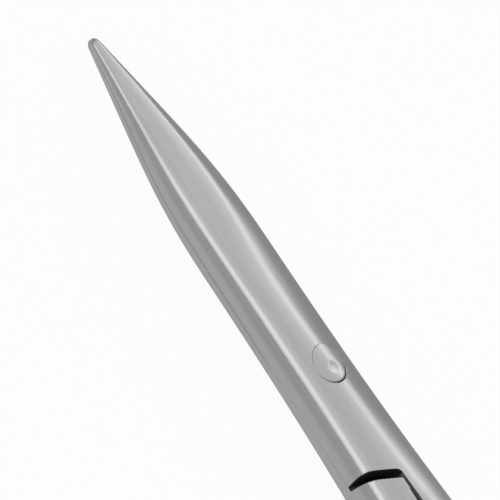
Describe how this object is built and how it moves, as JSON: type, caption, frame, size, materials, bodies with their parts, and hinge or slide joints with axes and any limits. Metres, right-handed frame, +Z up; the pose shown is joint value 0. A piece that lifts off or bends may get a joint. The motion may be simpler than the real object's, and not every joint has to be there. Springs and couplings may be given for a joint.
{
  "type": "tenotomy scissors",
  "caption": "Straight lap-joint surgical scissors with slim tapered blades, a riveted pivot and a finger ring on each shank.",
  "frame": {"origin": "on the surface the scissors lie on, under the middle of the closed scissors' overall box", "axes": "+X along the scissors from the tips to the finger rings, +Y towards the upper half's ring, +Z up along the pin, out of the punched end"},
  "size_m": [0.115, 0.0442, 0.0041],
  "materials": {
    "blade_steel": "satin",
    "pin_steel": "satin"
  },
  "bodies": {
    "lower": {"lower_half": "blade_steel", "pivot_pin": "pin_steel"},
    "upper": {"upper_half": "blade_steel"}
  },
  "joints": [
    {"name": "pivot", "type": "hinge", "parent": "lower", "child": "upper", "pos_m": [-0.03348, 0, 0.00206], "axis": [0, 0, 1], "range_deg": [0, 60]}
  ]
}
